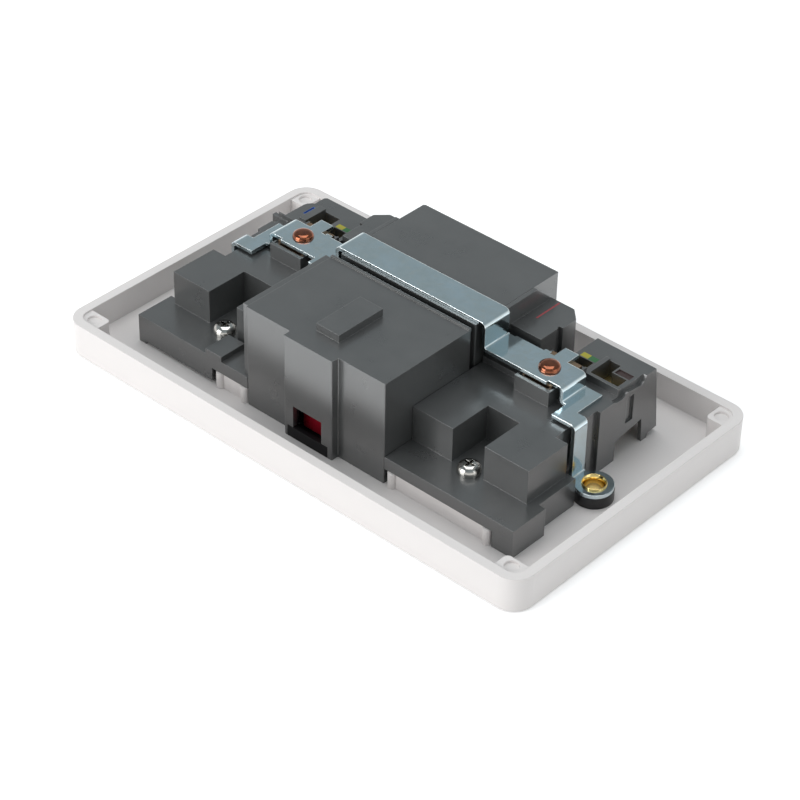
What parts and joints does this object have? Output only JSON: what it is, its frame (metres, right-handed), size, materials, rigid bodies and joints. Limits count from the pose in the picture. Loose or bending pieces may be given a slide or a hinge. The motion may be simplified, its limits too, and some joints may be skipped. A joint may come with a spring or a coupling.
{
  "type": "twin switched RCD socket outlet",
  "caption": "Twin 13 A wall socket outlet with a built-in residual-current trip, seen from its wiring side: white front plate, grey bases, folded earth strap.",
  "frame": {"origin": "middle of the front plate's front face, on which the outlet lies", "axes": "+X along the plate, +Y towards the cable terminals, +Z out of the wiring side"},
  "size_m": [0.147, 0.086, 0.0328],
  "materials": {
    "white_plastic": "smooth moulded",
    "grey_plastic": "moulded, satin",
    "black_plastic": "moulded, satin",
    "red_plastic": "smooth moulded",
    "blue_plastic": "smooth moulded",
    "zinc_steel": "zinc plated, satin",
    "brass": "stamped, satin",
    "copper": "polished copper",
    "nickel_steel": "nickel plated",
    "spring_steel": "drawn wire",
    "board_green": "lacquered",
    "ferrite": "sintered",
    "enamelled_wire": "enamelled copper"
  },
  "bodies": {
    "body": {"base_screws": "nickel_steel", "board_components": "ferrite", "button_frame": "black_plastic", "carrier_spring": "spring_steel", "circuit_board": "board_green", "earth_contact_left": "brass", "earth_contact_right": "brass", "earth_rivet_left": "copper", "earth_rivet_right": "copper", "earth_strap": "zinc_steel", "earth_terminal_left": "brass", "earth_terminal_right": "brass", "fixed_contacts": "copper", "fixing_eyelet_left": "brass", "fixing_eyelet_right": "brass", "fixing_spacer_left": "black_plastic", "fixing_spacer_right": "black_plastic", "front_plate": "white_plastic", "live_contact_left": "brass", "live_contact_right": "brass", "live_terminal": "brass", "neutral_contact_left": "brass", "neutral_contact_right": "brass", "neutral_terminal": "brass", "reset_spring": "spring_steel", "shutter_spring_left": "spring_steel", "shutter_spring_right": "spring_steel", "socket_base_left": "grey_plastic", "socket_base_right": "grey_plastic", "switch_contact_left": "copper", "switch_contact_right": "copper", "switch_housing_left": "grey_plastic", "switch_housing_right": "grey_plastic", "terminal_screws": "brass", "test_spring": "spring_steel", "toroid_core": "ferrite", "toroid_winding": "enamelled_wire", "trip_bobbin": "white_plastic", "trip_coil": "enamelled_wire", "trip_housing_front": "grey_plastic", "trip_housing_rear": "grey_plastic"},
    "shutter_left": {"shutter_left": "white_plastic"},
    "shutter_right": {"shutter_right": "white_plastic"},
    "rocker_left": {"rocker_left": "white_plastic", "rocker_blade_left": "copper"},
    "rocker_right": {"rocker_right": "white_plastic", "rocker_blade_right": "copper"},
    "reset_button": {"reset_button": "blue_plastic"},
    "test_button": {"test_button": "white_plastic"},
    "status_flag": {"status_flag": "red_plastic"},
    "trip_plunger": {"trip_plunger": "nickel_steel"},
    "contact_carrier": {"contact_carrier": "white_plastic", "bridge_contacts": "copper"}
  },
  "joints": [
    {"name": "shutter_slide_left", "type": "slide", "parent": "body", "child": "shutter_left", "axis": [0, -1, 0], "range_m": [0, 0.006], "stiffness_N_per_m": 60, "springref_m": -0.004, "deforming": ["shutter_spring_left"]},
    {"name": "rocker_tilt_left", "type": "hinge", "parent": "body", "child": "rocker_left", "pos_m": [-0.0278, 0.0208, 0.0034], "axis": [-1, 0, 0], "range_deg": [0, 10]},
    {"name": "shutter_slide_right", "type": "slide", "parent": "body", "child": "shutter_right", "axis": [0, -1, 0], "range_m": [0, 0.006], "stiffness_N_per_m": 60, "springref_m": -0.004, "deforming": ["shutter_spring_right"]},
    {"name": "rocker_tilt_right", "type": "hinge", "parent": "body", "child": "rocker_right", "pos_m": [0.0278, 0.0208, 0.0034], "axis": [-1, 0, 0], "range_deg": [0, 10]},
    {"name": "reset_push", "type": "slide", "parent": "body", "child": "reset_button", "axis": [0, 0, 1], "range_m": [0, 0.002], "stiffness_N_per_m": 300, "springref_m": -0.002, "deforming": ["reset_spring"]},
    {"name": "test_push", "type": "slide", "parent": "body", "child": "test_button", "axis": [0, 0, 1], "range_m": [0, 0.0015], "stiffness_N_per_m": 300, "springref_m": -0.002, "deforming": ["test_spring"]},
    {"name": "carrier_lift", "type": "slide", "parent": "body", "child": "contact_carrier", "axis": [0, 0, 1], "range_m": [0, 0.0025], "deforming": ["carrier_spring"]},
    {"name": "flag_slide", "type": "slide", "parent": "body", "child": "status_flag", "axis": [1, 0, 0], "range_m": [0, 0.005]},
    {"name": "plunger_slide", "type": "slide", "parent": "body", "child": "trip_plunger", "axis": [1, 0, 0], "range_m": [0, 0.002]}
  ],
  "couplings": [
    {"joint": "flag_slide", "follows": "carrier_lift", "ratio": 2}
  ]
}
